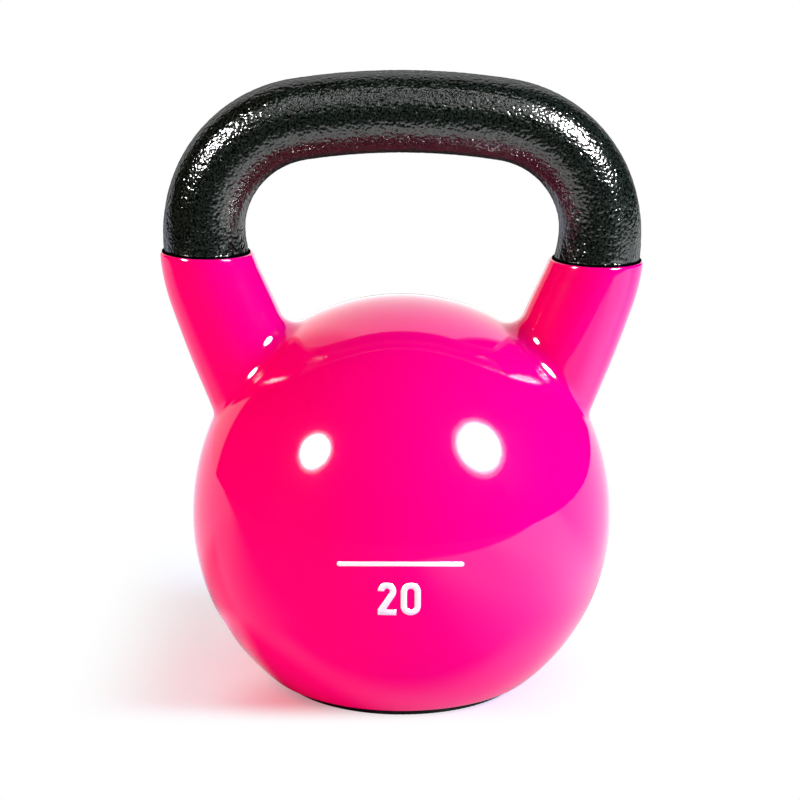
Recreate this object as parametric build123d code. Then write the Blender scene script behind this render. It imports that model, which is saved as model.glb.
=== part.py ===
from build123d import *
import os
from math import asin, ceil, cos, degrees, radians, sqrt, tan

# Vinyl-dipped kettlebell, sizes in millimetres and angles in degrees. The origin is on the floor
# under the middle of the ball, +Z is up and the handle runs along X. The front faces -Y.

# Ball of the iron casting: a sphere below its widest level. Above it a fuller shoulder leads to a
# round cap, which makes the top higher than a sphere's.
ball_diameter = 168.0
ball_rise = 4.8
shoulder_angle = 24.0
base_flat_diameter = 109.0
base_edge_radius = 4.0

# Handle of the casting: a round bar with a gentle crown, two corner bends down to the legs, and a wider
# bend from each leg into a horn. The bar starts to swell into the horn at a lead above the wider bend.
grip_diameter = 32.0
window_width = 126.0
window_height = 58.9
crown_radius = 265.0
corner_radius = 45.4
horn_bend_radius = 66.0
horn_tilt = 21.5
horn_diameter = 36.8
horn_taper_lead = 13.0
horn_taper_length = 65.0
horn_fillet_radius = 9.3

# Vinyl jacket: it ends at the level that the dip reached, which is not quite square to the handle.
vinyl_thickness = 2.0
dip_above_ball = 17.4
dip_tilt = 1.05
lip_edge_radius = 0.9

# Enamel film on the bare part of the handle. It laps over the flat top of the vinyl's lip.
enamel_thickness = 0.3

# Rubber base pad and the adhesive that holds it.
pad_diameter = 101.0
pad_thickness = 3.0
pad_edge_radius = 0.8
adhesive_thickness = 0.2
adhesive_margin = 2.0

# Largest distance between the round sections that the handle is lofted through.
section_spacing = 9.0

# Levels and radii that follow from the sizes above.
ball_radius = ball_diameter / 2
base_flat_radius = base_flat_diameter / 2
grip_radius = grip_diameter / 2
horn_radius = horn_diameter / 2
pad_radius = pad_diameter / 2
base_level = pad_thickness + adhesive_thickness + vinyl_thickness
ball_level = base_level + sqrt(ball_radius**2 - base_flat_radius**2)
shoulder_offset = ball_rise / (1 + tan(radians(shoulder_angle)) - 1 / cos(radians(shoulder_angle)))
jacket_top = ball_level + ball_radius + ball_rise + vinyl_thickness
grip_level = jacket_top + window_height + enamel_thickness + grip_radius
half_span = window_width / 2 + enamel_thickness + grip_radius
crown_angle = degrees(asin((half_span - corner_radius) / (crown_radius - corner_radius)))
dip_level = jacket_top + dip_above_ball


def half_handle_line():
    """Centre line of the handle's +X half, from the top of the crown to the ball's widest level."""
    with BuildLine(Plane.XZ) as line:
        crown = JernArc((0, grip_level), (1, 0), crown_radius, -crown_angle)
        corner = JernArc(crown @ 1, crown % 1, corner_radius, crown_angle - 90)
        horn_bend = JernArc(corner @ 1, corner % 1, horn_bend_radius, -horn_tilt)
        horn_top = horn_bend @ 1
        horn_length = (horn_top.Z - ball_level) / cos(radians(horn_tilt))
        PolarLine(horn_top, horn_length, direction=horn_bend % 1)
    return line.wire()


def bar_radius(distance):
    """Radius of the iron bar at a distance along its centre line from the top of the crown.

    The bar keeps the grip's size until shortly before it points straight down, and then swells into the horn.
    """
    straight_down = radians(crown_angle) * crown_radius + radians(90 - crown_angle) * corner_radius
    taper_start = straight_down - horn_taper_lead
    share = min(max((distance - taper_start) / horn_taper_length, 0), 1)
    return grip_radius + (horn_radius - grip_radius) * share**2 * (3 - 2 * share)


def handle_form(skin):
    """The whole handle, grown by a skin, lofted from inside one end of the ball to the other."""
    line = half_handle_line()
    steps = ceil(line.length / section_spacing)
    sections = []
    for step in range(-steps, steps + 1):
        share = abs(step) / steps
        side = -1 if step < 0 else 1
        place = line.position_at(share)
        heading = line.tangent_at(share)
        plane = Plane(
            origin=(side * place.X, 0, place.Z),
            x_dir=(0, 1, 0),
            z_dir=(heading.X, 0, side * heading.Z),
        )
        sections.append(plane * Circle(bar_radius(share * line.length) + skin))
    return loft(sections)


def ball_form(skin):
    """The ball with its flat base, grown by a skin: one turn of a chain of tangent arcs."""
    radius = ball_radius + skin
    edge_radius = base_edge_radius + skin
    bottom = base_level - skin
    edge_level = bottom + edge_radius
    edge_middle = sqrt((radius - edge_radius) ** 2 - (ball_level - edge_level) ** 2)
    edge_angle = degrees(asin((ball_level - edge_level) / (radius - edge_radius)))
    shoulder_radius = radius + shoulder_offset
    cap_level = ball_level + shoulder_offset * tan(radians(shoulder_angle))
    cap_radius = shoulder_radius - shoulder_offset / cos(radians(shoulder_angle))
    with BuildSketch(Plane.YZ) as profile:
        with BuildLine():
            Line((0, bottom), (edge_middle, bottom))
            CenterArc((edge_middle, edge_level), edge_radius, -90, 90 - edge_angle)
            CenterArc((0, ball_level), radius, -edge_angle, edge_angle)
            CenterArc((-shoulder_offset, ball_level), shoulder_radius, 0, shoulder_angle)
            CenterArc((0, cap_level), cap_radius, shoulder_angle, 90 - shoulder_angle)
            Line((0, cap_level + cap_radius), (0, bottom))
        make_face()
    return revolve(profile.sketch, Axis.Z)


def bell_form(skin):
    """Ball and handle in one, with the horns blended into the ball, grown by a skin."""
    ball = ball_form(skin)
    handle = handle_form(skin)
    bell = ball + handle
    roots = new_edges(ball, handle, combined=bell)
    return fillet(roots, horn_fillet_radius - skin)


def dip_plane(lift):
    """The level that the dip reached, raised by a lift and a little lower on the +X side."""
    return Plane((0, 0, dip_level + lift)).rotated((0, dip_tilt, 0))


def make_jacket(casting):
    """Skin over ball and horns, with a rounded lip round each leg of the handle."""
    dipped = split(bell_form(vinyl_thickness), dip_plane(0), keep=Keep.BOTTOM)
    lips = [face for face in dipped.faces().filter_by(GeomType.PLANE) if face.center().Z > jacket_top]
    lip_edges = [edge for face in lips for edge in face.outer_wire().edges()]
    return fillet(lip_edges, lip_edge_radius) - casting


def make_enamel(casting):
    """Film over the handle above the vinyl, with a thin foot that laps over each lip."""
    film = split(handle_form(enamel_thickness), dip_plane(0), keep=Keep.TOP)
    lap = split(handle_form(vinyl_thickness - lip_edge_radius), dip_plane(0), keep=Keep.TOP)
    feet = split(lap, dip_plane(enamel_thickness), keep=Keep.BOTTOM)
    return film + feet - casting


def make_adhesive():
    """Thin bonding layer between the jacket's base and the pad."""
    disc = Cylinder(pad_radius - adhesive_margin, adhesive_thickness)
    return Pos(0, 0, pad_thickness + adhesive_thickness / 2) * disc


def make_pad():
    """Disc that the kettlebell stands on, with both rims eased."""
    disc = Pos(0, 0, pad_thickness / 2) * Cylinder(pad_radius, pad_thickness)
    return fillet(disc.edges().filter_by(GeomType.CIRCLE), pad_edge_radius)


iron_casting = bell_form(0)

nodes = {
    "iron_casting": iron_casting,
    "vinyl_jacket": make_jacket(iron_casting),
    "handle_enamel": make_enamel(iron_casting),
    "base_pad_adhesive": make_adhesive(),
    "rubber_base_pad": make_pad(),
}

os.makedirs("parts", exist_ok=True)
for name, shape in nodes.items():
    export_step(shape, f"parts/{name}.step")
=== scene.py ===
import logging
import math
from collections.abc import Callable
from dataclasses import dataclass
from enum import Enum
from functools import cached_property
from typing import ClassVar

import bmesh
import bpy
import numpy as np
from mathutils import Euler, Matrix, Vector, noise


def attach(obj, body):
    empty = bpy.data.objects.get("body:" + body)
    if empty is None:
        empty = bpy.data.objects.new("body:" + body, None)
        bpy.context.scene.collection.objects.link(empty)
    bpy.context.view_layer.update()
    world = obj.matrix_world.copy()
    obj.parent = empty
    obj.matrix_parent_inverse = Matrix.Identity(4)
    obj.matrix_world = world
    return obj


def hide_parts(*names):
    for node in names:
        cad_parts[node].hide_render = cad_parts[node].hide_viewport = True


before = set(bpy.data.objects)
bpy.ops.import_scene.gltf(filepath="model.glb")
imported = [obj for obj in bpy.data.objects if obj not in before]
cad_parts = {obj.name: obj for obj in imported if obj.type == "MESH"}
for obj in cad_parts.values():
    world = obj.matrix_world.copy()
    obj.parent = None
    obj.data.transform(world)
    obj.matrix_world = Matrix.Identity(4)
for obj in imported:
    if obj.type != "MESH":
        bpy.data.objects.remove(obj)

# Looks of a vinyl-dipped kettlebell, in metres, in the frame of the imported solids: the origin is on
# the floor under the ball, +Z is up, the handle runs along X and the printed front faces -Y.

MM = 0.001
ROOT = "root"
LOG = logging.getLogger("kettlebell")

Colour = tuple[float, float, float, float]
Point = tuple[float, float, float]
Spot = tuple[float, float]
WHITE: Colour = (1.0, 1.0, 1.0, 1.0)


class Slot(Enum):
    """Material slots of the part's record."""

    IRON = "grey_iron"
    VINYL = "pink_vinyl"
    ENAMEL = "hammertone_enamel"
    ADHESIVE = "pad_adhesive"
    RUBBER = "black_rubber"


class Shine(Enum):
    """What a light is for: the matt surfaces, or its mirror image in the gloss."""

    MATT = "matt"
    GLOSS = "gloss"


class Side(Enum):
    """The two legs of the handle, by the sign of their X."""

    LEFT = -1
    RIGHT = 1


@dataclass(frozen=True)
class BellSizes:
    """Driving sizes of the bell, and the places that follow from them.

    Diameters and radii are those of the iron. Lengths are in metres, angles in degrees.
    """

    # Ball: a sphere below its widest level, and a fuller shoulder under a round cap above it.
    ball_diameter: float = 168 * MM
    ball_rise: float = 4.8 * MM
    shoulder_angle: float = 24.0
    base_flat_diameter: float = 109 * MM
    base_edge_radius: float = 4 * MM
    # Handle: a crown, two corners, and a bend from each leg into a horn that swells towards the ball.
    grip_diameter: float = 32 * MM
    window_width: float = 126 * MM
    window_height: float = 58.9 * MM
    crown_radius: float = 265 * MM
    corner_radius: float = 45.4 * MM
    horn_bend_radius: float = 66 * MM
    horn_tilt: float = 21.5
    horn_diameter: float = 36.8 * MM
    horn_taper_lead: float = 13 * MM
    horn_taper_length: float = 65 * MM
    horn_fillet_radius: float = 9.3 * MM
    # Coats, the dip's edge, and what lies under the vinyl's base.
    vinyl_thickness: float = 2 * MM
    dip_above_ball: float = 17.4 * MM
    dip_tilt: float = 1.05
    lip_edge_radius: float = 0.9 * MM
    enamel_thickness: float = 0.3 * MM
    foot_level: float = 3.2 * MM

    @property
    def ball_radius(self) -> float:
        """Radius of the iron ball."""
        return self.ball_diameter / 2

    @property
    def grip_radius(self) -> float:
        """Radius of the iron bar."""
        return self.grip_diameter / 2

    @property
    def base_level(self) -> float:
        """Underside of the iron."""
        return self.foot_level + self.vinyl_thickness

    @property
    def ball_level(self) -> float:
        """Widest level of the ball."""
        return self.base_level + math.sqrt(self.ball_radius**2 - (self.base_flat_diameter / 2) ** 2)

    @property
    def shoulder_offset(self) -> float:
        """How far the shoulder's centre lies beyond the ball's axis."""
        turn = math.radians(self.shoulder_angle)
        return self.ball_rise / (1 + math.tan(turn) - 1 / math.cos(turn))

    @property
    def jacket_top(self) -> float:
        """Top of the vinyl on the ball."""
        return self.ball_level + self.ball_radius + self.ball_rise + self.vinyl_thickness

    @property
    def grip_level(self) -> float:
        """Centre line of the bar at the top of its crown."""
        return self.jacket_top + self.window_height + self.enamel_thickness + self.grip_radius

    @property
    def crown_angle(self) -> float:
        """Half the turn of the crown, in radians."""
        half_span = self.window_width / 2 + self.enamel_thickness + self.grip_radius
        return math.asin((half_span - self.corner_radius) / (self.crown_radius - self.corner_radius))

    @property
    def corner_centre(self) -> Spot:
        """Centre of the right corner.

        Returns:
            Its X and Z.
        """
        reach = self.crown_radius - self.corner_radius
        crown_level = self.grip_level - self.crown_radius
        return reach * math.sin(self.crown_angle), crown_level + reach * math.cos(self.crown_angle)

    @property
    def bend_centre(self) -> Spot:
        """X and Z of the centre of the bend into the right horn."""
        corner_x, corner_z = self.corner_centre
        return corner_x + self.corner_radius - self.horn_bend_radius, corner_z

    @property
    def dip_level(self) -> float:
        """Level that the dip reached over the middle of the ball."""
        return self.jacket_top + self.dip_above_ball

    @property
    def dip_normal(self) -> Vector:
        """Upward normal of the plane that the dip's edge lies in."""
        return Vector((math.sin(math.radians(self.dip_tilt)), 0.0, math.cos(math.radians(self.dip_tilt))))

    def swell(self, distance: np.ndarray) -> np.ndarray:
        """Growth of the bar's radius at distances from where it points straight down."""
        share = np.clip((distance + self.horn_taper_lead) / self.horn_taper_length, 0.0, 1.0)
        return (self.horn_diameter - self.grip_diameter) / 2 * share**2 * (3 - 2 * share)


@dataclass(frozen=True)
class Wire:
    """A number that flows through a node tree and takes part in Python arithmetic.

    Args:
        sheet: The node tree that the number belongs to.
        socket: The output socket that carries it.
    """

    sheet: "Sheet"
    socket: bpy.types.NodeSocket

    def __add__(self, other: "Wire | float") -> "Wire":
        """Sum of this number and another."""
        return self.sheet.math("ADD", self, other)

    def __sub__(self, other: "Wire | float") -> "Wire":
        """This number less another."""
        return self.sheet.math("SUBTRACT", self, other)

    def __rsub__(self, other: float) -> "Wire":
        """Another number less this one."""
        return self.sheet.math("SUBTRACT", other, self)

    def __mul__(self, other: "Wire | float") -> "Wire":
        """Product of this number and another."""
        return self.sheet.math("MULTIPLY", self, other)

    __radd__ = __add__
    __rmul__ = __mul__

    def __pow__(self, other: float) -> "Wire":
        """This number raised to a power."""
        return self.sheet.math("POWER", self, other)


Input = Wire | float | Colour | Point


@dataclass
class Sheet:
    """A node tree that is being drawn, from an empty start.

    Args:
        tree: The node tree of a material, a light or a world.
    """

    tree: bpy.types.NodeTree

    def __post_init__(self) -> None:
        """Empties the tree."""
        self.tree.nodes.clear()

    def node(
        self, kind: str, inputs: dict[str | int, Input] | None = None, output: str | int = 0, **settings: str
    ) -> Wire:
        """Adds one node.

        Args:
            kind: Type of the node, without its common prefix.
            inputs: Values or wires for its sockets, by name or place.
            output: The socket that is handed back.
            settings: Attributes of the node, set before its sockets.

        Returns:
            The wire from the chosen output, or an empty one where the node has no output.
        """
        node = self.tree.nodes.new("ShaderNode" + kind)
        for name, setting in settings.items():
            setattr(node, name, setting)
        for name, given in (inputs or {}).items():
            if isinstance(given, Wire):
                self.tree.links.new(given.socket, node.inputs[name])
            else:
                node.inputs[name].default_value = given
        return Wire(self, node.outputs[output] if node.outputs else None)

    def math(self, operation: str, *values: "Wire | float") -> Wire:
        """Adds a Math node and returns its result."""
        return self.node("Math", dict(enumerate(values)), operation=operation)

    def blend(self, share: Wire, low: Input, high: Input) -> Wire:
        """Mixes two colours, from the low one at share 0 to the high one at share 1."""
        first, second, result = 6, 7, 2
        return self.node("Mix", {0: share, first: low, second: high}, result, data_type="RGBA")

    def ease(self, number: Wire, start: float, end: float, low: float = 0.0, high: float = 1.0) -> Wire:
        """Smooth step of a number, from low at the start to high at the end."""
        span = {"From Min": start, "From Max": end, "To Min": low, "To Max": high}
        return self.node("MapRange", {"Value": number, **span}, interpolation_type="SMOOTHSTEP")

    def grain(self, place: Wire, size: float, detail: float = 2.0) -> Wire:
        """Soft noise round one half, with grains of a size in metres and finer layers on top."""
        return self.node("TexNoise", {"Vector": place, "Scale": 1 / size, "Detail": detail})

    def bump(self, height: Wire, depth: float) -> Wire:
        """Normal of a relief, from heights that are multiplied by a depth in metres."""
        return self.node("Bump", {"Strength": 1.0, "Distance": depth, "Height": height})

    def coat(self, inputs: dict[str, Input]) -> Wire:
        """Surface of a solid material."""
        return self.node("BsdfPrincipled", inputs)

    def mix(self, share: Wire, low: Wire, high: Wire) -> Wire:
        """Mixes two shaders, from the low one at share 0 to the high one at share 1."""
        return self.node("MixShader", {0: share, 1: low, 2: high})

    def place(self) -> Wire:
        """Coordinates on the piece, in metres."""
        return self.node("TexCoord", output="Object")

    def spot(self) -> Wire:
        """Place on a light, as shares of its width and height."""
        return self.node("NewGeometry", output="Parametric")

    def parts(self, vector: Wire) -> list[Wire]:
        """X, Y and Z of a vector."""
        return [self.node("SeparateXYZ", {0: vector}, axis) for axis in "XYZ"]

    def ray(self, kind: str) -> Wire:
        """1 for one kind of ray and 0 for the others."""
        return self.node("LightPath", output=f"Is {kind} Ray")

    def direct(self) -> Wire:
        """1 for light that has met no matt surface on its way to the eye, and 0 for other light."""
        return self.math("LESS_THAN", self.node("LightPath", output="Diffuse Depth"), 0.5)

    def finish(self, surface: Wire, kind: str = "Material") -> None:
        """Wires a shader to the tree's output."""
        self.node("Output" + kind, {"Surface": surface})


@dataclass(frozen=True)
class Finish:
    """A finish, which each kind draws in its own way."""

    name: ClassVar[str]

    def surface(self, sheet: Sheet) -> Wire:
        """Shader of the finish, drawn on a sheet."""
        raise NotImplementedError

    def material(self) -> bpy.types.Material:
        """Builds the material.

        Returns:
            The material, with its nodes wired.
        """
        material = bpy.data.materials.new(self.name)
        material.use_nodes = True
        sheet = Sheet(material.node_tree)
        sheet.finish(self.surface(sheet))
        return material


@dataclass(frozen=True)
class VinylFinish(Finish):
    """High-gloss dip coat with the faint mottling and ripple of a skin that cured as it ran."""

    name: ClassVar[str] = Slot.VINYL.value
    tone: Colour = (1.0, 0.0, 0.19, 1.0)
    deep: Colour = (0.96, 0.0, 0.172, 1.0)
    gloss: float = 0.28
    patch: float = 22 * MM
    ripple: float = 14 * MM
    ripple_depth: float = 0.02 * MM

    def surface(self, sheet: Sheet) -> Wire:
        """Mottled colour under a clear skin.

        Args:
            sheet: Where the nodes are drawn.

        Returns:
            The shader.
        """
        place = sheet.place()
        haze = sheet.grain(place, self.patch / 9, 3.0)
        return sheet.coat({
            "Base Color": sheet.blend(sheet.grain(place, self.patch), self.deep, self.tone),
            "Roughness": 0.018 + 0.03 * haze,
            "Specular IOR Level": self.gloss,
            "Normal": sheet.bump(sheet.grain(place, self.ripple, 1.0), self.ripple_depth),
        })


@dataclass(frozen=True)
class EnamelFinish(Finish):
    """Black hammertone enamel: glossy dark resin that dried in fine pebbles, with a bead painted dead black
    as shade.
    """

    name: ClassVar[str] = Slot.ENAMEL.value
    sizes: BellSizes
    resin: Colour = (0.0006, 0.0012, 0.0005, 1.0)
    worn: Colour = (0.019, 0.023, 0.014, 1.0)
    # Dead black of the bead at the lip: painted shade of the joint between lip and bar.
    painted_bead_shade: Colour = (0.0015, 0.0015, 0.0015, 1.0)
    bead_rise: float = 0.75 * MM
    pebble: float = 1.4 * MM
    pebble_depth: float = 0.24 * MM
    grit: float = 0.9 * MM
    cloud: float = 4 * MM
    gloss: float = 0.45

    def surface(self, sheet: Sheet) -> Wire:
        """Pebbled enamel, matt where the eye only glances along it, over a bead painted dead black as shade.

        Args:
            sheet: Where the nodes are drawn.

        Returns:
            The shader.
        """
        place = sheet.place()
        cell = {"Vector": place, "Scale": 1 / self.pebble, "Smoothness": 0.5}
        near = sheet.node("TexVoronoi", cell, feature="SMOOTH_F1")
        fine = sheet.grain(place, self.grit, 1.0)
        bump = sheet.bump(0.5 * fine - near * near, self.pebble_depth)
        tone = sheet.blend(sheet.ease(fine, 0.35, 0.65), self.resin, self.worn)
        gloss = sheet.coat({
            "Base Color": tone,
            "Roughness": 0.07 + 0.08 * sheet.grain(place, self.cloud),
            "Specular IOR Level": self.gloss,
            "Normal": bump,
        })
        matt = sheet.coat({"Base Color": tone, "Roughness": 0.8, "Specular IOR Level": 0.03, "Normal": bump})
        glance = sheet.node("LayerWeight", {"Blend": 0.5}, "Facing")
        coat = sheet.mix(sheet.ease(glance, 0.5, 0.95, 0.0, 0.85), gloss, matt)
        # The bead laps over the vinyl's lip and is painted shade: dead black, rough and without gloss.
        bead = sheet.coat({"Base Color": self.painted_bead_shade, "Roughness": 0.9, "Specular IOR Level": 0.0})
        up = tuple(self.sizes.dip_normal)
        level = sheet.node("VectorMath", {0: place, 1: up}, "Value", operation="DOT_PRODUCT")
        bead_top = self.sizes.dip_level * up[2] + self.bead_rise
        return sheet.mix(sheet.ease(level, bead_top, bead_top + 0.3 * MM), bead, coat)


@dataclass(frozen=True)
class RubberFinish(Finish):
    """Matt black rubber with a fine moulded grain and a little dust."""

    name: ClassVar[str] = Slot.RUBBER.value
    black: Colour = (0.006, 0.006, 0.007, 1.0)
    dust: Colour = (0.05, 0.047, 0.045, 1.0)
    grain: float = 0.5 * MM
    grain_depth: float = 0.06 * MM
    dust_patch: float = 9 * MM

    def surface(self, sheet: Sheet) -> Wire:
        """Grained rubber with dust in patches.

        Args:
            sheet: Where the nodes are drawn.

        Returns:
            The shader.
        """
        place = sheet.place()
        fine = sheet.grain(place, self.grain)
        film = sheet.ease(sheet.grain(place, self.dust_patch), 0.5, 0.75)
        return sheet.coat({
            "Base Color": sheet.blend(film * fine, self.black, self.dust),
            "Roughness": 0.62 + 0.2 * fine,
            "Normal": sheet.bump(fine, self.grain_depth),
        })


@dataclass(frozen=True)
class IronFinish(Finish):
    """Sand-cast grey iron, with the grain of the mould and a bloom of scale."""

    name: ClassVar[str] = Slot.IRON.value
    iron: Colour = (0.17, 0.17, 0.18, 1.0)
    scale: Colour = (0.09, 0.075, 0.065, 1.0)
    sand: float = 0.9 * MM
    sand_depth: float = 0.12 * MM
    scale_patch: float = 12 * MM

    def surface(self, sheet: Sheet) -> Wire:
        """Sandy iron with scale in patches.

        Args:
            sheet: Where the nodes are drawn.

        Returns:
            The shader.
        """
        place = sheet.place()
        sand = sheet.grain(place, self.sand, 3.0)
        bloom = sheet.ease(sheet.grain(place, self.scale_patch, 4.0), 0.4, 0.65)
        return sheet.coat({
            "Base Color": sheet.blend(bloom, self.iron, self.scale),
            "Metallic": 0.9 - 0.5 * bloom,
            "Roughness": 0.5 + 0.3 * sand,
            "Normal": sheet.bump(sand, self.sand_depth),
        })


@dataclass(frozen=True)
class AdhesiveFinish(Finish):
    """Amber contact adhesive with brush streaks."""

    name: ClassVar[str] = Slot.ADHESIVE.value
    thin: Colour = (0.62, 0.52, 0.34, 1.0)
    thick: Colour = (0.42, 0.32, 0.17, 1.0)
    streak: float = 3 * MM

    def surface(self, sheet: Sheet) -> Wire:
        """Streaked film.

        Args:
            sheet: Where the nodes are drawn.

        Returns:
            The shader.
        """
        place = sheet.place()
        streak = sheet.node("TexWave", {"Vector": place, "Scale": 1 / self.streak / 6, "Distortion": 4.0}, 1)
        return sheet.coat({
            "Base Color": sheet.blend(streak, self.thin, self.thick),
            "Roughness": 0.45 + 0.2 * sheet.grain(place, self.streak),
        })


@dataclass(frozen=True)
class InkFinish(Finish):
    """White screen ink, with a hint of the vinyl's colour where the film is thin."""

    name: ClassVar[str] = "white_ink"
    white: Colour = (0.93, 0.74, 0.9, 1.0)
    thin: Colour = (0.93, 0.64, 0.82, 1.0)
    patch: float = 1.6 * MM
    gloss: float = 0.3

    def surface(self, sheet: Sheet) -> Wire:
        """Ink with thin patches.

        Args:
            sheet: Where the nodes are drawn.

        Returns:
            The shader.
        """
        patch = sheet.ease(sheet.grain(sheet.place(), self.patch, 3.0), 0.55, 0.85)
        return sheet.coat({
            "Base Color": sheet.blend(patch, self.white, self.thin),
            "Roughness": 0.3 + 0.15 * patch,
            "Specular IOR Level": self.gloss,
        })


@dataclass(frozen=True)
class PaperFinish(Finish):
    """White paper that keeps the bell's shadow, with a pink bounce light of the bell's colour painted near
    it.

    The eye sees it white beyond the shadow. The gloss sees it painted dark, apart from a painted glow in some
    places, with a painted cool tinge on the left.
    """

    name: ClassVar[str] = "white_paper"
    paper: Colour = (0.82, 0.82, 0.82, 1.0)
    # Pink paper and pink glow of the painted bounce light beside the bell.
    painted_bounce_paper: Colour = (0.76, 0.46, 0.51, 1.0)
    painted_bounce_glow: Colour = (0.93, 0.56, 0.62, 1.0)
    # As the gloss sees it, the paper is painted dark, and its left side is painted with a cool tinge.
    dark: Colour = (0.06, 0.055, 0.055, 1.0)
    gloss_painted_cool: Colour = (1.0, 1.0, 1.2, 1.0)
    eye_fill: float = 0.16
    # Painted bounce light: the paper glows with this strength for every ray but the gloss's, and so lights
    # the bell from below.
    matt_fill: float = 0.24

    def surface(self, sheet: Sheet) -> Wire:
        """Paper, and the white that the eye sees in its place beyond the shadow.

        Args:
            sheet: Where the nodes are drawn.

        Returns:
            The shader.
        """
        seen = sheet.ray("Camera") + sheet.ray("Transmission")
        glossy = sheet.ray("Glossy")
        x, y, _ = sheet.parts(sheet.place())
        shadow = sheet.ease(x, -0.14, -0.085) * sheet.ease(y, -0.062, -0.035) * sheet.ease(y, 0.2, 0.1)
        # Painted bounce light: a round patch by the bell's base where the paper is pink and glows pink.
        painted_bounce = sheet.ease(self.away(x, y, -0.04, -0.04), 0.045, 0.005)
        # Painted shade and tinge for the gloss: the paper turns dark, and its glow on the left turns cool.
        paper = sheet.blend(glossy, sheet.blend(painted_bounce, self.paper, self.painted_bounce_paper), self.dark)
        tint = sheet.blend(glossy * sheet.ease(x, -0.06, -0.1), WHITE, self.gloss_painted_cool)
        light = sheet.node("Emission", {
            "Color": sheet.blend(painted_bounce, tint, self.painted_bounce_glow),
            "Strength": self.eye_fill * seen + (1 - glossy) * self.matt_fill + glossy * self.painted_gloss_glow(sheet, x, y),
        })
        near_by = sheet.node("AddShader", {0: sheet.node("BsdfDiffuse", {"Color": paper}), 1: light})
        return sheet.mix((1 - shadow) * seen, near_by, sheet.node("Emission", {"Strength": 1.0}))

    @staticmethod
    def away(x: Wire, y: Wire, aside: float, ahead: float, squeeze: float = 1.0) -> Wire:
        """Distance on the floor from a point at X aside and Y ahead, with X squeezed."""
        return (squeeze * (x - aside) * (x - aside) + (y - ahead) * (y - ahead)) ** 0.5

    def painted_gloss_glow(self, sheet: Sheet, x: Wire, y: Wire) -> Wire:
        """Painted light that the gloss sees on the floor: a glow in front of the bell, on both sides and
        close to its rim.

        Args:
            sheet: Where the nodes are drawn.
            x: X on the floor.
            y: Y on the floor.

        Returns:
            The strength of the painted glow.
        """
        # The glow is painted light, and clear_of_shade and wedge paint the bell's shadow into it.
        out = self.away(x, y, 0.0, 0.0)
        wedge = sheet.ease(y + 0.6 * x, -0.1, -0.07) * sheet.ease(x, -0.07, -0.1) * sheet.ease(y, 0.12, 0.05)
        clear_of_shade = sheet.ease(self.away(x, y, -0.035, -0.01, 0.6), 0.042, 0.062) * (1 - 0.5 * wedge)
        ahead = sheet.ease(y, -0.078, -0.058) * sheet.ease(x, -0.11, -0.07)
        front = 0.45 * ahead * sheet.ease(out, 0.13, 0.08)
        bright = sheet.ease(x + 0.8 * y, 0.03, 0.25, 1.3, 2.6) * sheet.ease(y, 0.1, -0.05, 0.5, 1.0)
        right = sheet.ease(x, 0.03, 0.165) * sheet.ease(y, -0.6, -0.5) * bright
        rising = sheet.ease(y - 0.25 * x * x, -0.11, 0.02) * sheet.ease(y, 0.05, 0.15, 0.75, 0.95)
        left = rising * sheet.ease(x, -0.07, -0.11)
        rim = 0.5 * sheet.ease(y, -0.03, -0.005) * sheet.ease(x, -0.04, -0.06) * sheet.ease(out, 0.12, 0.095)
        return clear_of_shade * (front + right + left) + rim


def fold_signs(points: np.ndarray) -> np.ndarray:
    """Factors that fold rows of points onto the right half of the bell, and back."""
    return np.where(points[:, :1] < 0, [-1.0, 1.0, 1.0], [1.0, 1.0, 1.0])


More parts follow.
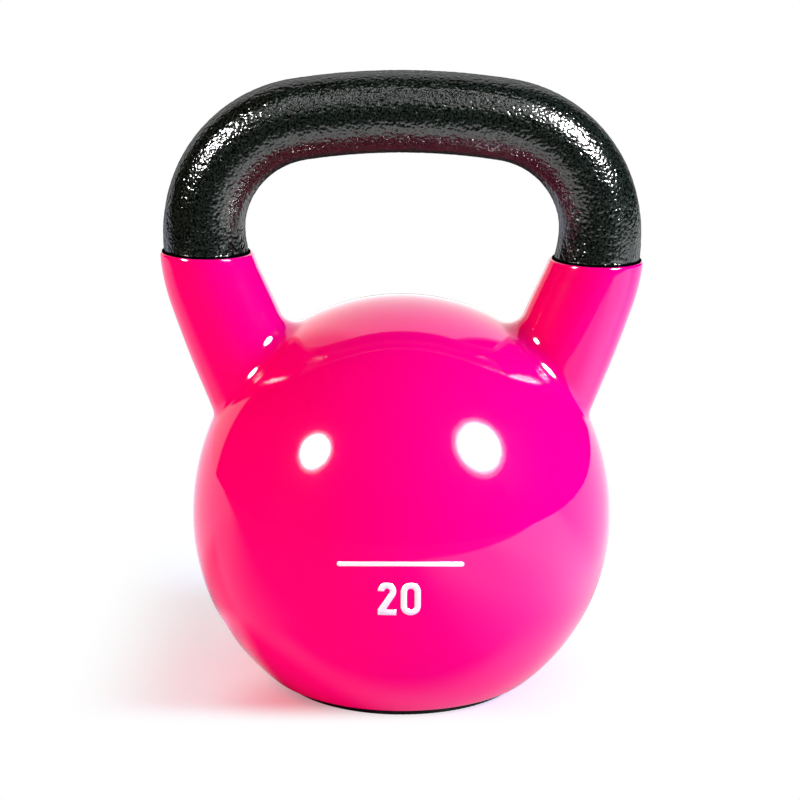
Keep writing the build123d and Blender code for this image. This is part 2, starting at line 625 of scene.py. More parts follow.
@dataclass
class BellSurface:
    """Outer face of ball and horns under a skin, with the blend that a rolling ball would leave.

    Args:
        sizes: Sizes of the bell.
        skin: Thickness over the iron.
        tightening: How much tighter the blend is on the horn's outer half than on its inner side.
        root_steps: Steps round the horn.
        search_steps: Steps of a search.
    """

    sizes: BellSizes
    skin: float
    tightening: float = 1.3 * MM
    root_steps: int = 720
    search_steps: int = 40

    def blend_radius(self, turn: np.ndarray) -> np.ndarray:
        """Radii of the blend at angles round the horn, from 0 on its outer side."""
        inward = np.clip(-np.cos(turn), 0, 1) ** 2
        return self.sizes.horn_fillet_radius - self.skin - self.tightening * (1 - inward)

    def ball_gap(self, points: np.ndarray) -> tuple[np.ndarray, np.ndarray]:
        """Distance and outward direction from the ball's face.

        Args:
            points: Rows of X, Y and Z.

        Returns:
            Signed distances and unit directions.
        """
        sizes = self.sizes
        radius = sizes.ball_radius + self.skin
        edge_radius = sizes.base_edge_radius + self.skin
        bottom = sizes.base_level - self.skin
        edge_level = bottom + edge_radius
        edge_drop = sizes.ball_level - edge_level
        edge_middle = math.sqrt((radius - edge_radius) ** 2 - edge_drop**2)
        offset = sizes.shoulder_offset
        turn = math.radians(sizes.shoulder_angle)
        cap_level = sizes.ball_level + offset * math.tan(turn)
        cap_radius = radius + offset - offset / math.cos(turn)
        away = np.hypot(points[:, 0], points[:, 1])
        rise = points[:, 2] - sizes.ball_level
        shoulder = (rise > 0) & (np.arctan2(rise, away + offset) < turn)
        cap = (rise > 0) & ~shoulder
        edge = np.arctan2(-rise, away) > math.atan2(edge_drop, edge_middle)
        zones = [shoulder, cap, edge]
        out = away - np.select(zones, [-offset, 0.0, edge_middle], 0.0)
        up = points[:, 2] - np.select(zones, [sizes.ball_level, cap_level, edge_level], sizes.ball_level)
        length = np.hypot(out, up)
        gap = length - np.select(zones, [radius + offset, cap_radius, edge_radius], radius)
        safe_away = np.maximum(away, 1e-9)[:, None]
        direction = np.column_stack([points[:, :2] / safe_away * out[:, None], up]) / length[:, None]
        flat = edge & (away < edge_middle)
        gap[flat] = bottom - points[flat, 2]
        direction[flat] = (0.0, 0.0, -1.0)
        return gap, direction

    def horn_line(self, distance: np.ndarray) -> tuple[np.ndarray, np.ndarray, np.ndarray]:
        """Centre line of the right horn.

        Args:
            distance: Distances along it from where it points straight down.

        Returns:
            Places in X and Z, outward directions in X and Z, and radii under the skin.
        """
        sizes = self.sizes
        bend = np.minimum(distance / sizes.horn_bend_radius, math.radians(sizes.horn_tilt))
        straight = distance - bend * sizes.horn_bend_radius
        outward = np.stack([np.cos(bend), -np.sin(bend)], axis=1)
        onward = np.stack([-np.sin(bend), -np.cos(bend)], axis=1)
        place = np.array(sizes.bend_centre) + sizes.horn_bend_radius * outward + straight[:, None] * onward
        return place, outward, sizes.grip_radius + sizes.swell(distance) + self.skin

    def horn_gap(self, points: np.ndarray) -> tuple[np.ndarray, np.ndarray, np.ndarray]:
        """Distance and outward direction from the right horn's face.

        Args:
            points: Rows of X, Y and Z.

        Returns:
            Signed distances, unit directions, and angles round the horn from its outer side.
        """
        sizes = self.sizes
        tilt = math.radians(sizes.horn_tilt)
        flat = points[:, [0, 2]] - sizes.bend_centre
        bend = np.arctan2(-flat[:, 1], flat[:, 0])
        onward = np.array([-math.sin(tilt), -math.cos(tilt)])
        straight = np.where(bend < tilt, 0.0, np.maximum(flat @ onward, 0.0))
        distance = np.minimum(bend, tilt) * sizes.horn_bend_radius + straight
        place, outward, radius = self.horn_line(distance)
        aside = np.sum((points[:, [0, 2]] - place) * outward, axis=1)
        length = np.hypot(aside, points[:, 1])
        across = np.column_stack([outward[:, 0] * aside, points[:, 1], outward[:, 1] * aside])
        return length - radius, across / length[:, None], np.arctan2(points[:, 1], aside)

    @cached_property
    def root_line(self) -> tuple[np.ndarray, np.ndarray]:
        """Path of the rolling ball's centre round the right horn.

        Returns:
            Rows of points, and the rolling ball's radii.
        """
        turn = np.linspace(0, 2 * math.pi, self.root_steps, endpoint=False)
        blend = self.blend_radius(turn)
        near = np.zeros_like(turn)
        far = np.full_like(turn, self.sizes.ball_diameter)
        for _ in range(self.search_steps):
            middle = (near + far) / 2
            place, outward, radius = self.horn_line(middle)
            flat = place + outward * ((radius + blend) * np.cos(turn))[:, None]
            centre = np.column_stack([flat[:, 0], (radius + blend) * np.sin(turn), flat[:, 1]])
            clear = self.ball_gap(centre)[0] > blend
            near = np.where(clear, middle, near)
            far = np.where(clear, far, middle)
        return centre, blend

    def settle(self, points: np.ndarray) -> np.ndarray:
        """Moves points that lie near the face onto it.

        Args:
            points: Rows of X, Y and Z.

        Returns:
            The settled points.
        """
        signs = fold_signs(points)
        folded = points * signs
        ball_gap, ball_out = self.ball_gap(folded)
        horn_gap, horn_out, turn = self.horn_gap(folded)
        on_ball = folded - ball_gap[:, None] * ball_out
        on_horn = folded - horn_gap[:, None] * horn_out
        reach = self.blend_radius(turn)
        ball_clear = self.horn_gap(on_ball + reach[:, None] * ball_out)[0] >= reach
        horn_clear = self.ball_gap(on_horn + reach[:, None] * horn_out)[0] >= reach
        nearer = np.abs(ball_gap) <= np.abs(horn_gap)
        below = folded[:, 2] < self.sizes.ball_level
        to_ball = below | ball_clear & (nearer | ~horn_clear)
        settled = np.where(to_ball[:, None], on_ball, on_horn)
        blend = np.flatnonzero(~to_ball & ~horn_clear)
        centres, radii = self.root_line
        spread = np.linalg.norm(folded[blend, None, :] - centres[None, :, :], axis=2)
        nearest = np.argmin(spread, axis=1)
        away = folded[blend] - centres[nearest]
        away *= radii[nearest, None] / np.linalg.norm(away, axis=1, keepdims=True)
        settled[blend] = centres[nearest] + away
        return settled * signs


def new_object(name: str, bm: bmesh.types.BMesh) -> bpy.types.Object:
    """Turns a bmesh into an object.

    Args:
        name: Name of the object.
        bm: The mesh, which is freed.

    Returns:
        The new object.
    """
    mesh = bpy.data.meshes.new(name)
    bm.to_mesh(mesh)
    bm.free()
    thing = bpy.data.objects.new(name, mesh)
    bpy.context.scene.collection.objects.link(thing)
    return thing


def add_piece(
    name: str, bm: bmesh.types.BMesh, material: bpy.types.Material
) -> bpy.types.Object:
    """Turns a finished bmesh into a smooth piece that rides on the bell.

    Args:
        name: Name of the piece.
        bm: The mesh, which is freed.
        material: Its finish.

    Returns:
        The new object.
    """
    bmesh.ops.recalc_face_normals(bm, faces=bm.faces)
    piece = new_object(name, bm)
    piece.data.shade_smooth()
    piece.data.materials.append(material)
    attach(piece, ROOT)
    LOG.info("%s: %d faces", name, len(piece.data.polygons))
    return piece


def edges_of(geometry: list) -> list[bmesh.types.BMEdge]:
    """The edges among the results of a bmesh operator."""
    return [item for item in geometry if isinstance(item, bmesh.types.BMEdge)]


def cut_mesh(bm: bmesh.types.BMesh, place: Vector, normal: Vector, above: bool) -> list[bmesh.types.BMEdge]:
    """Cuts a mesh at a plane and clears one side of it.

    Args:
        bm: The mesh.
        place: A point on the plane.
        normal: Normal of the plane.
        above: Whether the side that the normal points to is cleared, or else the other one.

    Returns:
        Edges of the cut.
    """
    cut = bmesh.ops.bisect_plane(
        bm, geom=bm.verts[:] + bm.edges[:] + bm.faces[:], plane_co=place, plane_no=normal,
        clear_outer=above, clear_inner=not above,
    )
    return edges_of(cut["geom_cut"])


def move_verts(bm: bmesh.types.BMesh, rule: Callable[[np.ndarray], np.ndarray]) -> None:
    """Moves every vertex of a mesh.

    Args:
        bm: The mesh.
        rule: What takes rows of points and gives them back moved.
    """
    points = rule(np.array([vert.co for vert in bm.verts]))
    for vert, place in zip(bm.verts, points):
        vert.co = place


def quarter_turn(steps: int) -> list[float]:
    """Angles that go up to a quarter turn in even steps."""
    return [math.pi / 2 * step / steps for step in range(1, steps + 1)]


def close_rims(bm: bmesh.types.BMesh, steps: list[Spot], up: Vector) -> None:
    """Extrudes the open rim of each leg through some rings and closes the last one.

    Args:
        bm: The mesh.
        steps: Inset towards the leg's middle and rise along the leg, from the rim, for each ring.
        up: Direction of the rise.
    """
    open_edges = [edge for edge in bm.edges if edge.is_boundary]
    for side in Side:
        rim = [edge for edge in open_edges if edge.verts[0].co.x * side.value > 0]
        verts = dict.fromkeys(vert for edge in rim for vert in edge.verts)
        middle = sum((vert.co for vert in verts), Vector()) / len(verts)
        done_in, done_up = 0.0, 0.0
        for inset, rise in steps:
            rim = edges_of(bmesh.ops.extrude_edge_only(bm, edges=rim)["geom"])
            for vert in {vert for edge in rim for vert in edge.verts}:
                out = vert.co - middle
                out -= out.dot(up) * up
                vert.co += (rise - done_up) * up - (inset - done_in) * out.normalized()
            done_in, done_up = inset, rise
        bmesh.ops.edgeloop_fill(bm, edges=rim)


@dataclass
class Jacket:
    """The vinyl dip coat over ball and horns, with a rolled lip round each leg of the handle."""

    sizes: BellSizes
    finish: VinylFinish
    facet: float = 1.3 * MM
    relax_rounds: int = 4
    # The coat stays this far inside its solid, which leaves room for the ink.
    inset: float = 0.08 * MM
    # The coat thins over a short length towards its lip, which rolls over and reaches down inside.
    lip_ease: float = 3.2 * MM
    lip_thinning: float = 0.3 * MM
    lip_steps: int = 6
    socket_depth: float = 5 * MM

    @cached_property
    def surface(self) -> BellSurface:
        """The face that the coat settles on."""
        return BellSurface(self.sizes, self.sizes.vinyl_thickness - self.inset)

    def build(self) -> bpy.types.Object:
        """Models the coat and puts it in place of its solid.

        Returns:
            The finished piece.
        """
        sizes = self.sizes
        bm = self.rough_form()
        for _ in range(self.relax_rounds):
            bmesh.ops.smooth_vert(
                bm, verts=bm.verts, factor=0.5, use_axis_x=True, use_axis_y=True, use_axis_z=True
            )
            move_verts(bm, self.surface.settle)
        rim_place = Vector((0, 0, sizes.dip_level)) - sizes.lip_edge_radius * sizes.dip_normal
        cut_mesh(bm, rim_place, sizes.dip_normal, above=True)
        move_verts(bm, self.thin_lip)
        self.roll_lips(bm)
        piece = add_piece("vinyl_coat", bm, self.finish.material())
        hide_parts("vinyl_jacket")
        return piece

    def rough_ball(self) -> bpy.types.Object:
        """The ball as a plain solid with a flat base.

        Returns:
            An object that only helps to shape the coat.
        """
        sizes = self.sizes
        bm = bmesh.new()
        middle = Matrix.Translation((0, 0, sizes.ball_level))
        radius = sizes.ball_radius + sizes.vinyl_thickness
        bmesh.ops.create_icosphere(bm, subdivisions=5, radius=radius, matrix=middle)
        cut = cut_mesh(bm, Vector((0, 0, sizes.foot_level)), Vector((0, 0, 1)), above=False)
        bmesh.ops.edgeloop_fill(bm, edges=cut)
        return new_object("rough_ball", bm)

    def rough_horns(self) -> bpy.types.Object:
        """The two horns as plain cylinders that end inside the ball.

        Returns:
            An object that only helps to shape the coat.
        """
        sizes = self.sizes
        bm = bmesh.new()
        centre_x, centre_z = sizes.bend_centre
        tilt = math.radians(sizes.horn_tilt)
        horn_radius = sizes.horn_diameter / 2 + sizes.vinyl_thickness
        above, below = 1.6 * horn_radius, 0.75 * sizes.ball_radius
        for side in Side:
            lean = Matrix.Rotation(side.value * tilt, 4, "Y")
            bend_end = Vector((side.value * (centre_x + sizes.horn_bend_radius * math.cos(tilt)), 0, 0))
            bend_end.z = centre_z - sizes.horn_bend_radius * math.sin(tilt)
            bmesh.ops.create_cone(
                bm, cap_ends=True, segments=64, radius1=horn_radius, radius2=horn_radius, depth=above + below,
                matrix=Matrix.Translation(bend_end) @ lean @ Matrix.Translation((0, 0, (above - below) / 2)),
            )
        return new_object("rough_horns", bm)

    def rough_form(self) -> bmesh.types.BMesh:
        """Ball and horns joined and covered with even faces.

        Returns:
            The mesh.
        """
        ball, horns = self.rough_ball(), self.rough_horns()
        join = ball.modifiers.new("join", "BOOLEAN")
        join.operation = "UNION"
        join.solver = "EXACT"
        join.object = horns
        even = ball.modifiers.new("even", "REMESH")
        even.mode = "VOXEL"
        even.voxel_size = self.facet
        bm = bmesh.new()
        bm.from_object(ball, bpy.context.evaluated_depsgraph_get())
        for spare in (ball, horns):
            bpy.data.objects.remove(spare)
        return bm

    def thin_lip(self, points: np.ndarray) -> np.ndarray:
        """Draws the coat in a little below its lip.

        Args:
            points: Rows of X, Y and Z on the face.

        Returns:
            The moved points.
        """
        normal = np.array(self.sizes.dip_normal)
        depth = self.sizes.dip_level * normal[2] - points @ normal
        share = np.clip(1 - depth / self.lip_ease, 0, 1)
        signs = fold_signs(points)
        out = self.surface.horn_gap(points * signs)[1] * signs
        return points - (self.lip_thinning * share**2)[:, None] * out

    def roll_lips(self, bm: bmesh.types.BMesh) -> None:
        """Rolls each open rim over to the iron, turns it down inside and closes it.

        Args:
            bm: The mesh.
        """
        radius = self.sizes.lip_edge_radius
        roll = quarter_turn(self.lip_steps)
        steps = [(radius * (1 - math.cos(turn)), radius * math.sin(turn)) for turn in roll]
        wall = self.sizes.vinyl_thickness - self.inset - self.lip_thinning
        steps += [(wall, radius), (wall, radius - self.socket_depth)]
        close_rims(bm, steps, self.sizes.dip_normal)


@dataclass
class HandleCoat:
    """The hammertone enamel on the bare part of the handle, with its pebbled relief."""

    sizes: BellSizes
    finish: EnamelFinish
    # Faces round the bar, and the length of one face along it.
    around: int = 180
    facet: float = 0.57 * MM
    pebble: float = 1.9 * MM
    relief: float = 0.13 * MM
    # Fixes the warp of the pebbles, which is drawn afresh on each run otherwise.
    seed: int = 20
    # How far the enamel's bead laps over the vinyl's lip; its dead black is painted shade.
    bead_reach: float = 0.85 * MM
    bead_steps: int = 5

    def build(self) -> bpy.types.Object:
        """Models the coat and puts it in place of its solid.

        Returns:
            The finished piece.
        """
        sizes = self.sizes
        bm = bmesh.new()
        radius = sizes.grip_radius + sizes.enamel_thickness
        top = Matrix.Translation((0, 0, sizes.grip_level)) @ Matrix.Rotation(math.pi / 2, 4, "Y")
        ring = bmesh.ops.create_circle(bm, segments=self.around, radius=radius, matrix=top)["verts"]
        first = list(dict.fromkeys(edge for vert in ring for edge in vert.link_edges))
        for side in Side:
            self.run_leg(bm, first, side)
        bmesh.ops.remove_doubles(bm, verts=bm.verts, dist=self.facet / 20)
        bmesh.ops.recalc_face_normals(bm, faces=bm.faces)
        bm.normal_update()
        noise.seed_set(self.seed)
        swell = sizes.swell(self.leg_distance(np.array([vert.co for vert in bm.verts])))
        for vert, growth in zip(bm.verts, swell.tolist()):
            vert.co += (growth - self.relief * self.hollow(vert.co)) * vert.normal
        bead_rise = self.finish.bead_rise
        bead_top = Vector((0, 0, sizes.dip_level)) + bead_rise * sizes.dip_normal
        cut_mesh(bm, bead_top, sizes.dip_normal, above=False)
        turns = quarter_turn(self.bead_steps)
        steps = [(-self.bead_reach * math.sin(turn), -bead_rise * (1 - math.cos(turn))) for turn in turns]
        close_rims(bm, steps, sizes.dip_normal)
        piece = add_piece("handle_coat", bm, self.finish.material())
        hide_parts("handle_enamel")
        return piece

    def leg_distance(self, points: np.ndarray) -> np.ndarray:
        """Distances along the legs from where they point straight down.

        Args:
            points: Rows of X, Y and Z on the bar.

        Returns:
            The distances, which are negative on the corners and the crown.
        """
        sizes = self.sizes
        right = np.abs(points[:, 0])
        corner_x, corner_z = sizes.corner_centre
        drop = corner_z - points[:, 2]
        on_corner = np.arctan2(drop, right - corner_x) * sizes.corner_radius
        on_bend = np.arctan2(drop, right - sizes.bend_centre[0]) * sizes.horn_bend_radius
        return np.where(drop < 0, on_corner, on_bend)

    def run_leg(self, bm: bmesh.types.BMesh, ring: list[bmesh.types.BMEdge], side: Side) -> None:
        """Spins the ring along half the crown, round one corner and into the horn's bend, past the dip.

        Args:
            bm: The mesh.
            ring: Edges of the ring at the top of the crown.
            side: Which way to run.
        """
        sizes = self.sizes
        corner_x, corner_z = sizes.corner_centre
        bends = [
            (0, sizes.grip_level - sizes.crown_radius, sizes.crown_radius, sizes.crown_angle),
            (corner_x, corner_z, sizes.corner_radius, math.pi / 2 - sizes.crown_angle),
            (sizes.bend_centre[0], corner_z, sizes.horn_bend_radius, math.radians(sizes.horn_tilt)),
        ]
        for middle_x, middle_z, bend_radius, angle in bends:
            spun = bmesh.ops.spin(
                bm, geom=ring, cent=(side.value * middle_x, 0, middle_z), axis=(0, 1, 0),
                angle=side.value * angle, steps=round(angle * bend_radius / self.facet), use_duplicate=False,
            )
            ring = edges_of(spun["geom_last"])

    def hollow(self, place: Vector) -> float:
        """Depth of the hammertone relief.

        Args:
            place: A place on the bar.

        Returns:
            0 on a pebble's top, and up to 1 between pebbles.
        """
        bent = place + 0.4 * self.pebble * Vector(noise.noise_vector(place / (1.4 * self.pebble)))
        nearest = noise.voronoi(bent / self.pebble)[0][0]
        dome = min(nearest / 0.7, 1.0) ** 2
        swell = 0.5 + 0.5 * noise.noise(place / (3 * self.pebble))
        return min(max(0.8 * dome + 0.2 * swell, 0.0), 1.0)


@dataclass
class Stroke:
    """A flat stroke of a pen in X and Z, which grows from an edge across it.

    Args:
        bm: The mesh.
        start: One end of the first edge.
        end: Its other end.
    """

    bm: bmesh.types.BMesh
    start: Spot
    end: Spot

    def __post_init__(self) -> None:
        """Draws the first edge."""
        self.edge = self.bm.edges.new([self.bm.verts.new((x, 0, z)) for x, z in (self.start, self.end)])

    def push(self, start: Spot, end: Spot) -> None:
        """Extrudes the last edge to two new places.

        Args:
            start: New place of the end that has the lower X, or the lower Z on an upright edge.
            end: New place of the other end.
        """
        self.edge = edges_of(bmesh.ops.extrude_edge_only(self.bm, edges=[self.edge])["geom"])[0]
        ends = sorted(self.edge.verts, key=lambda vert: (round(vert.co.x, 7), vert.co.z))
        for vert, (x, z) in zip(ends, (start, end)):
            vert.co = (x, 0, z)

    def swing(self, middle: Spot, angle: float, steps: int) -> None:
        """Spins the last edge, clockwise as seen from the front.

        Args:
            middle: Centre of the turn.
            angle: Turn in radians.
            steps: Faces in the turn.
        """
        x, z = middle
        spun = bmesh.ops.spin(
            self.bm, geom=[self.edge], cent=(x, 0, z), axis=(0, 1, 0), angle=angle, steps=steps,
            use_duplicate=False,
        )
        self.edge = edges_of(spun["geom_last"])[0]


@dataclass
class FrontPrint:
    """White ink on the front of the ball: a rule and the weight in kilograms."""

    sizes: BellSizes
    coat_inset: float
    finish: InkFinish
    middle: float = -0.9 * MM
    rule_middle: float = -0.3 * MM
    rule_level: float = 75.4 * MM
    rule_length: float = 48.2 * MM
    rule_width: float = 1.75 * MM
    # The rule's ends are lower by this much, so that it looks straight from where a person stands.
    rule_sag: float = 1.1 * MM
    number_level: float = 61.3 * MM
    number_height: float = 13.4 * MM
    digit_width: float = 7.6 * MM
    two_width: float = 7.0 * MM
    two_slant: float = 40.0
    digit_gap: float = 1.4 * MM
    stroke: float = 2.35 * MM
    film: float = 0.06 * MM
    arc_steps: int = 20

    def build(self) -> list[bpy.types.Object]:
        """Models the rule and the digits.

        Returns:
            The finished pieces.
        """
        material = self.finish.material()
        pieces = {"rule_ink": self.rule(), "digit_two_ink": self.two(), "digit_nought_ink": self.nought()}
        return [self.lay(name, bm, material) for name, bm in pieces.items()]

    @property
    def digit_step(self) -> float:
        """Distance from the number's middle to a digit's middle."""
        return (self.digit_width + self.digit_gap) / 2

    def arc_rise(self, width: float) -> float:
        """Distance from the number's middle to the centre of a digit's round end, for the digit's width."""
        return (self.number_height - width) / 2

    def rule(self) -> bmesh.types.BMesh:
        """The rule: a straight bar with round ends.

        Returns:
            Its flat shape.
        """
        bm = bmesh.new()
        half = self.rule_width / 2
        reach = self.rule_length / 2 - half
        bmesh.ops.create_grid(bm, x_segments=48, y_segments=10, size=1.0)
        for vert in bm.verts:
            across = half * vert.co.y
            along = vert.co.x * (reach + math.sqrt(max(half**2 - across**2, 0.0)))
            sag = self.rule_sag * (along / reach) ** 2
            vert.co = (self.rule_middle + along, 0, self.rule_level + across - sag)
        return bm

    def nought(self) -> bmesh.types.BMesh:
        """The nought: a ring with straight flanks and half-round ends.

        Returns:
            Its flat shape.
        """
        bm = bmesh.new()
        centre = self.middle + self.digit_step
        outer = self.digit_width / 2
        inner = outer - self.stroke
        high = self.number_level + self.arc_rise(self.digit_width)
        low = self.number_level - self.arc_rise(self.digit_width)
        pen = Stroke(bm, (centre - outer, high), (centre - inner, high))
        pen.swing((centre, high), math.pi, self.arc_steps)
        pen.push((centre + inner, low), (centre + outer, low))
        pen.swing((centre, low), math.pi, self.arc_steps)
        pen.push((centre - outer, high), (centre - inner, high))
        bmesh.ops.remove_doubles(bm, verts=bm.verts, dist=self.film / 10)
        return bm

    def two(self) -> bmesh.types.BMesh:
        """The two: a hooked arc, a slanting stroke that leaves it at a tangent, and a foot.

        Returns:
            Its flat shape.
        """
        bm = bmesh.new()
        centre = self.middle - self.digit_step
        outer = self.two_width / 2
        inner = outer - self.stroke
        high = self.number_level + self.arc_rise(self.two_width)
        foot_low = self.number_level - self.number_height / 2
        foot_high = foot_low + self.stroke
        slant = math.radians(self.two_slant)
        left, right = centre - outer, centre + outer
        neck = left + self.stroke / math.cos(slant)
        pen = Stroke(bm, (left, high), (centre - inner, high))
        pen.swing((centre, high), math.pi + slant, self.arc_steps)
        pen.push((left, foot_high), (neck, foot_high))
        pen.push((left, foot_low), (neck, foot_low))
        pen.edge = next(
            edge for edge in bm.edges if all(abs(vert.co.x - neck) < self.film / 10 for vert in edge.verts)
        )
        pen.push((right, foot_low), (right, foot_high))
        return bm

    def lay(self, name: str, bm: bmesh.types.BMesh, material: bpy.types.Material) -> bpy.types.Object:
        """Lays a flat shape on the ball's front and gives it the ink's thickness.

        Args:
            name: Name of the piece.
            bm: Flat shape in X and Z.
            material: The ink.

        Returns:
            The finished piece.
        """
        long_edges = [edge for edge in bm.edges if edge.calc_length() > 1.2 * self.stroke]
        bmesh.ops.subdivide_edges(bm, edges=long_edges, cuts=3, use_grid_fill=True)
        grown = bmesh.ops.extrude_face_region(bm, geom=bm.faces[:])["geom"]
        top = {item for item in grown if isinstance(item, bmesh.types.BMVert)}
        face = BellSurface(self.sizes, self.sizes.vinyl_thickness - self.coat_inset)
        points = np.array([(vert.co.x, -self.sizes.ball_radius, vert.co.z) for vert in bm.verts])
        for _ in range(face.search_steps):
            gap, out = face.ball_gap(points)
            points[:, 1] -= gap / out[:, 1]
        for vert, front in zip(bm.verts, points[:, 1]):
            vert.co.y = front - (self.film if vert in top else -self.film)
        return add_piece(name, bm, material)


@dataclass(frozen=True)
class Lamp:
    """An area light that the camera doesn't see.

    Args:
        name: Name of the light.
        place: Where it hangs.
        size: Its width and height.
        glow: Its brightness.
        pieces: The pieces that it shines on, or None for all.
        shine: Whether it lights the matt surfaces or shows in the gloss.
        disk: Whether it is round.
        tint: Its colour on matt surfaces.
        turn: Its turn about X in degrees, from facing down, or None to look at the bell.
        fade: Share of its width over which it fades out towards its left in the gloss.
        speckle: Size of its speckles in the gloss as a share of its width, or 0 for none.
    """

    name: str
    place: Point | Vector
    size: Spot
    glow: float
    pieces: list[bpy.types.Object] | None = None
    shine: Shine = Shine.GLOSS
    disk: bool = False
    tint: Point = (1.0, 1.0, 1.0)
    turn: float | None = None
    fade: float = 0.0
    speckle: float = 0.0
    bell_middle: ClassVar[Vector] = Vector((0.0, 0.0, 0.1))

    def hang(self) -> None:
        """Makes the light and hangs it in its place."""
        light = bpy.data.lights.new(self.name, "AREA")
        light.shape = "DISK" if self.disk else "RECTANGLE"
        light.size, light.size_y = self.size
        light.energy = math.pi * self.size[0] * self.size[1] * self.glow
        light.color = self.tint
        lamp = bpy.data.objects.new(self.name, light)
        lamp.location = self.place
        if self.turn is None:
            lamp.rotation_euler = (self.bell_middle - lamp.location).to_track_quat("-Z", "Y").to_euler()
        else:
            lamp.rotation_euler = (math.radians(self.turn), 0.0, 0.0)
        lamp.visible_camera = False
        lamp.visible_glossy = self.shine is Shine.GLOSS
        lamp.visible_diffuse = self.shine is Shine.MATT
        if self.shine is Shine.GLOSS:
            self.keep_in_gloss(light)
        bpy.context.scene.collection.objects.link(lamp)
        if self.pieces is not None:
            group = bpy.data.collections.new(f"{self.name}_shines_on")
            for piece in self.pieces:
                group.objects.link(piece)
            lamp.light_linking.receiver_collection = group

    def keep_in_gloss(self, light: bpy.types.AreaLight) -> None:
        """Keeps the light that the gloss throws on from brightening the matt surfaces round about.

        Args:
            light: The light.
        """
        light.use_nodes = True
        sheet = Sheet(light.node_tree)
        strength = sheet.direct()
        if self.fade:
            strength = strength * sheet.ease(sheet.parts(sheet.spot())[0], 0.0, self.fade)
        if self.speckle:
            strength = strength * sheet.ease(sheet.grain(sheet.spot(), self.speckle, 1.0), 0.5, 0.58)
        sheet.finish(sheet.node("Emission", {"Strength": strength}), "Light")


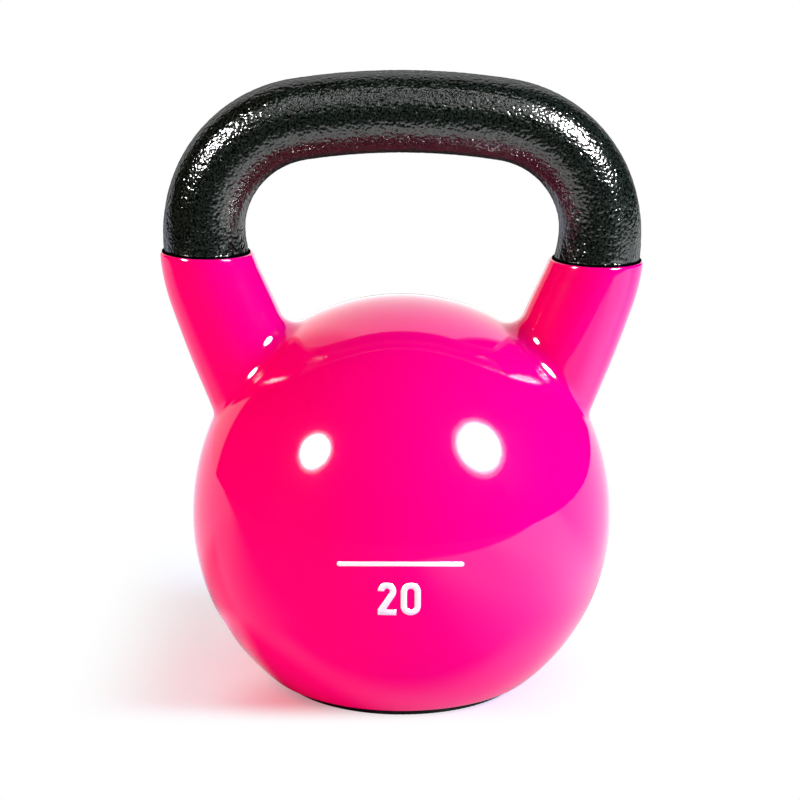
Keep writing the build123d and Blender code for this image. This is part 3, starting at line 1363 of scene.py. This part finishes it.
@dataclass
class Studio:
    """White sweep, camera and soft lamps."""

    # The vinyl with its print, and the enamel, have their own lamps.
    vinyl: list[bpy.types.Object]
    enamel: list[bpy.types.Object]
    floor_reach: float = 2.0
    panel_size: float = 0.9
    lamp_middle: Point = (0.0, 0.0, 0.12)
    lamp_distance: float = 1.3
    ring_gap: float = 0.02
    # Rings of a lamp for each coat: the width, as a share of the lamp's spread, and the glow.
    vinyl_rings: tuple[Spot, ...] = ((1.0, 3000.0), (1.15, 40.0), (1.3, 12.0), (1.5, 4.0))
    enamel_rings: tuple[Spot, ...] = ((1.0, 120.0), (2.2, 1.6))
    # Share of a card's width over which it fades out towards its left.
    card_fade: float = 0.25
    room_light: float = 0.5
    backdrop_glow: float = 1.1
    camera_place: Point = (0.0003, -0.9016, 0.3481)
    camera_aim: Point = (-0.00072, 0.0, 0.1172)
    camera_roll: float = 0.002
    lens: float = 102.5
    sensor: float = 36.0

    def build(self) -> None:
        """Builds floor, world, lamps and camera."""
        bpy.context.scene.view_settings.view_transform = "Standard"
        self.floor()
        self.world()
        panel = {"size": (self.panel_size, self.panel_size), "shine": Shine.MATT}
        Lamp("key_panel", (1.5, -0.45, 0.75), glow=9.4314, tint=(0.85, 1.25, 2.05), **panel).hang()
        vinyl_panel = {"pieces": self.vinyl, **panel}
        Lamp("fill_panel", (-1.25, -0.8, 0.3), glow=5.5017, tint=(1.0, 0.95, 0.2), **vinyl_panel).hang()
        Lamp("top_panel", (0.0, 0.3, 1.3), glow=0.786, tint=(1.0, 0.15, 0.1), **vinyl_panel).hang()
        self.round_lamp("left_lamp", -123.0, 31.0, 7.4)
        self.round_lamp("right_lamp", 127.0, 35.0, 10.6)
        fade = self.card_fade
        Lamp("low_card", (0.0, -0.24, 0.004), (1.0, 0.24), 2.5, self.enamel, turn=180.0, fade=fade).hang()
        Lamp(
            "speckled_card", (0.0, -0.77, 1.12), (1.6, 1.0), 6.0, self.enamel,
            turn=40.0, fade=fade, speckle=0.2,
        ).hang()
        Lamp("back_card", (-0.08, 1.6, 1.96), (2.08, 3.92), 1.1, self.vinyl, turn=-90.0, fade=fade).hang()
        self.camera()

    def floor(self) -> None:
        """White floor that keeps the object's shadow."""
        bm = bmesh.new()
        bmesh.ops.create_circle(bm, cap_ends=True, segments=128, radius=self.floor_reach)
        floor = new_object("floor", bm)
        floor.data.materials.append(PaperFinish().material())

    def world(self) -> None:
        """White all round for the eye; for gloss a white backdrop in a dark room."""
        world = bpy.data.worlds.new("studio")
        bpy.context.scene.world = world
        world.use_nodes = True
        sheet = Sheet(world.node_tree)
        x, y, z = sheet.parts(sheet.node("TexCoord", output="Generated"))
        past_left_edge = sheet.ease(x + 1.3 * y - 0.33 * z, -0.03, 0.03)
        before_right_edge = sheet.ease(0.6 * y - x, -0.03, 0.03)
        under_top_edge = sheet.ease(2.45 * y - z, -0.05, 0.05)
        backdrop = self.backdrop_glow * past_left_edge * before_right_edge * under_top_edge
        white = sheet.node("Background", {"Strength": 1.0, "Color": WHITE})
        room = sheet.node("Background", {"Strength": backdrop})
        soft = sheet.node("Background", {"Strength": self.room_light, "Color": WHITE})
        other = sheet.mix(sheet.ray("Glossy") * sheet.direct(), soft, room)
        sheet.finish(sheet.mix(sheet.ray("Camera") + sheet.ray("Transmission"), other, white), "World")

    def round_lamp(self, name: str, azimuth: float, height: float, spread: float) -> None:
        """Hangs a round lamp that only shows in the gloss: a bright core and a dim rim.

        Args:
            name: Name of the lamp.
            azimuth: Its bearing from +Y towards +X, in degrees.
            height: Its height, in degrees.
            spread: Half its width as the bell sees it, in degrees.
        """
        turn, rise = math.radians(azimuth), math.radians(height)
        aim = Vector((math.sin(turn) * math.cos(rise), math.cos(turn) * math.cos(rise), math.sin(rise)))
        rings = [(self.vinyl, *ring) for ring in self.vinyl_rings]
        rings += [(self.enamel, *ring) for ring in self.enamel_rings]
        for count, (pieces, share, glow) in enumerate(rings):
            width = 2 * self.lamp_distance * math.tan(math.radians(share * spread))
            place = Vector(self.lamp_middle) + (self.lamp_distance + self.ring_gap * count) * aim
            Lamp(f"{name}_{count}", place, (width, width), glow, pieces, disk=True).hang()

    def camera(self) -> None:
        """Camera at the height and distance of the photograph."""
        data = bpy.data.cameras.new("camera")
        data.lens = self.lens
        data.sensor_width = self.sensor
        camera = bpy.data.objects.new("camera", data)
        camera.location = self.camera_place
        gaze = (Vector(self.camera_aim) - Vector(self.camera_place)).to_track_quat("-Z", "Y")
        camera.rotation_euler = (gaze.to_matrix() @ Euler((0, 0, self.camera_roll)).to_matrix()).to_euler()
        bpy.context.scene.collection.objects.link(camera)
        bpy.context.scene.camera = camera


def dress_node(name: str, finish: Finish) -> None:
    """Gives a solid of the frame its finish.

    Args:
        name: Name of the node.
        finish: Its finish.
    """
    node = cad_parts[name]
    node.data.materials.clear()
    node.data.materials.append(finish.material())
    LOG.info("%s: dressed", name)


def main() -> None:
    """Builds the bell, dresses it and lights it."""
    logging.basicConfig(level=logging.INFO, format="%(name)s: %(message)s")
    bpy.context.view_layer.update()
    sizes = BellSizes()
    jacket = Jacket(sizes, VinylFinish())
    vinyl = [jacket.build()]
    enamel = [HandleCoat(sizes, EnamelFinish(sizes)).build()]
    vinyl += FrontPrint(sizes, jacket.inset, InkFinish()).build()
    dress_node("iron_casting", IronFinish())
    dress_node("base_pad_adhesive", AdhesiveFinish())
    dress_node("rubber_base_pad", RubberFinish())
    Studio(vinyl, enamel).build()


if __name__ == "__main__":
    main()
